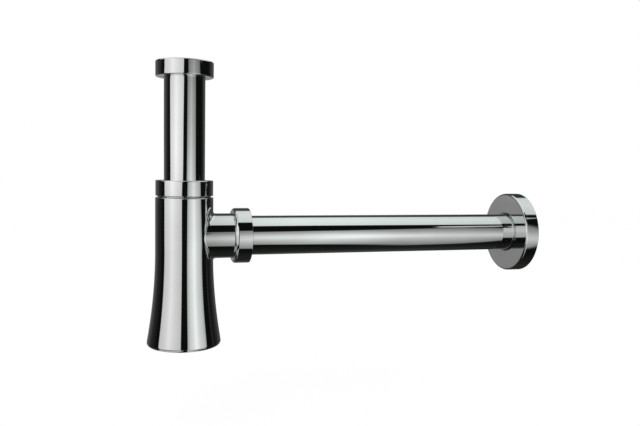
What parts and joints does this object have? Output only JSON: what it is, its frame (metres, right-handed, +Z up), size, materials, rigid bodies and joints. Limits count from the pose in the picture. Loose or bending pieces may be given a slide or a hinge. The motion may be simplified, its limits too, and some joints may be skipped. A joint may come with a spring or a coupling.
{
  "type": "bottle trap",
  "caption": "Washbasin bottle trap: union nut, dip tube, flared bottle with cleaning plug, side outlet nut, long wall pipe and round wall flange, in polished chrome.",
  "frame": {"origin": "centre of the inlet's sealing face, the top of the inlet washer at the inner end of the inlet thread", "axes": "+Z up the inlet axis, +X along the outlet pipe towards the wall, +Y completes the right hand"},
  "size_m": [0.3447, 0.07, 0.224],
  "materials": {
    "chrome": "polished chrome plate on turned brass",
    "chrome_tube": "polished chrome plate on drawn brass tube, bare brass bore",
    "chrome_body": "polished chrome plate on a cast and turned brass body",
    "rubber": "moulded black rubber",
    "nylon": "natural nylon"
  },
  "bodies": {
    "inlet_nut": {"inlet_nut": "chrome", "inlet_washer": "rubber"},
    "inlet_tube": {"inlet_tube": "chrome_tube"},
    "bottle": {"bottle_body": "chrome_body", "cap_seal": "rubber", "outlet_seal": "rubber"},
    "cap_ring": {"cap_slip_ring": "nylon"},
    "cap_nut": {"cap_nut": "chrome"},
    "plug_ring": {"base_ring": "rubber"},
    "base_plug": {"base_plug": "chrome"},
    "outlet_ring": {"outlet_slip_ring": "nylon"},
    "outlet_nut": {"outlet_nut": "chrome"},
    "outlet_pipe": {"outlet_pipe": "chrome_tube"},
    "wall_flange": {"wall_flange": "chrome", "flange_ring": "rubber"}
  },
  "joints": [
    {"name": "inlet_swivel", "type": "hinge", "parent": "inlet_nut", "child": "inlet_tube", "pos_m": [0, 0, -0.0033], "axis": [0, 0, 1], "continuous": true},
    {"name": "height_adjust", "type": "slide", "parent": "inlet_tube", "child": "bottle", "axis": [0, 0, 1], "range_m": [-0.05, 0.008]},
    {"name": "cap_rise", "type": "slide", "parent": "bottle", "child": "cap_ring", "axis": [0, 0, 1], "range_m": [0, 0.0071]},
    {"name": "cap_turn", "type": "hinge", "parent": "cap_ring", "child": "cap_nut", "pos_m": [0, 0, -0.0877], "axis": [0, 0, 1], "range_deg": [0, 1260]},
    {"name": "plug_drop", "type": "slide", "parent": "bottle", "child": "plug_ring", "axis": [0, 0, -1], "range_m": [0, 0.0061]},
    {"name": "plug_turn", "type": "hinge", "parent": "plug_ring", "child": "base_plug", "pos_m": [0, 0, -0.2144], "axis": [0, 0, -1], "range_deg": [0, 1440]},
    {"name": "outlet_nut_back", "type": "slide", "parent": "bottle", "child": "outlet_ring", "axis": [1, 0, 0], "range_m": [0, 0.0069]},
    {"name": "outlet_nut_turn", "type": "hinge", "parent": "outlet_ring", "child": "outlet_nut", "pos_m": [0.0486, 0, -0.13], "axis": [1, 0, 0], "range_deg": [0, 1620]},
    {"name": "pipe_slide", "type": "slide", "parent": "bottle", "child": "outlet_pipe", "axis": [1, 0, 0], "range_m": [-0.005, 0.008]},
    {"name": "flange_slide", "type": "slide", "parent": "outlet_pipe", "child": "wall_flange", "axis": [1, 0, 0], "range_m": [-0.226, 0.01]}
  ],
  "couplings": [
    {"joint": "cap_rise", "follows": "cap_turn", "m_per_rad": 0.00031831},
    {"joint": "plug_drop", "follows": "plug_turn", "m_per_rad": 0.00023873},
    {"joint": "outlet_nut_back", "follows": "outlet_nut_turn", "m_per_rad": 0.00023873}
  ]
}
